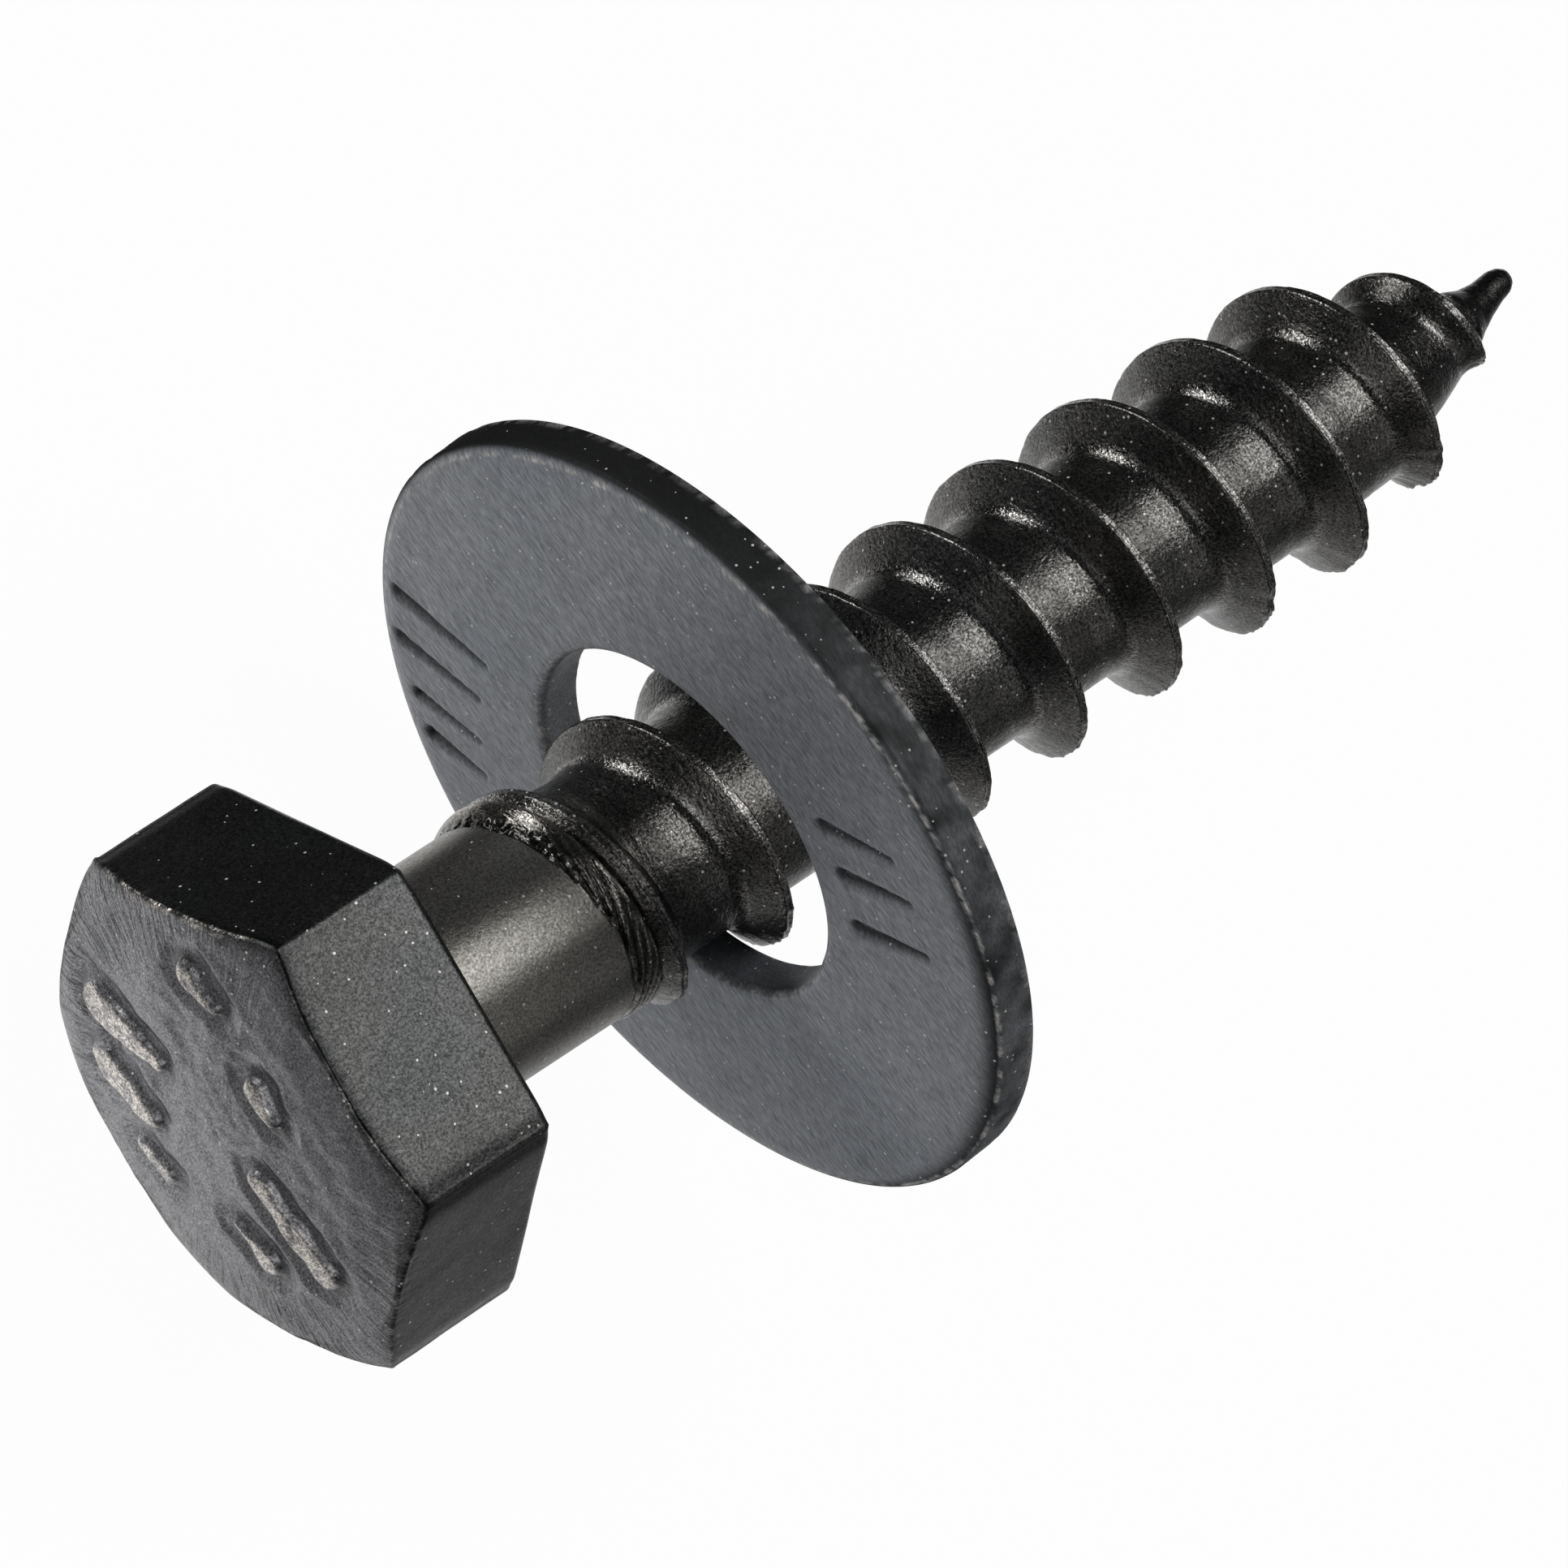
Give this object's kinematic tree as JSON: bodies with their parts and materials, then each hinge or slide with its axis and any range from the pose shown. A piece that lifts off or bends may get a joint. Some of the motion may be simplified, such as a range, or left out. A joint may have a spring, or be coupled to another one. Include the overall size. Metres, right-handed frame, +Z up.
{
  "type": "lag screw with washer",
  "caption": "Hex head lag screw with a coarse wood thread and crooked pointed tip, lying on its head and on the rim of a loose flat washer that hangs in the thread",
  "frame": {"origin": "centre of the flat bearing face under the hexagonal head, on the screw's own axis", "axes": "+Z up with the part at rest on a level floor; +X level, along the screw from head to tip, whose axis rises 10 degrees from it; +Y completes a right-handed frame"},
  "size_m": [0.0606, 0.0295, 0.0291],
  "materials": {
    "screw_steel": "black oxide on forged and rolled steel, satin, worn bare on small high spots",
    "washer_steel": "black oxide on stamped steel, satin, fine diagonal grain, dull rim"
  },
  "bodies": {
    "root": {"lag_screw": "screw_steel", "washer": "washer_steel"}
  },
  "joints": []
}
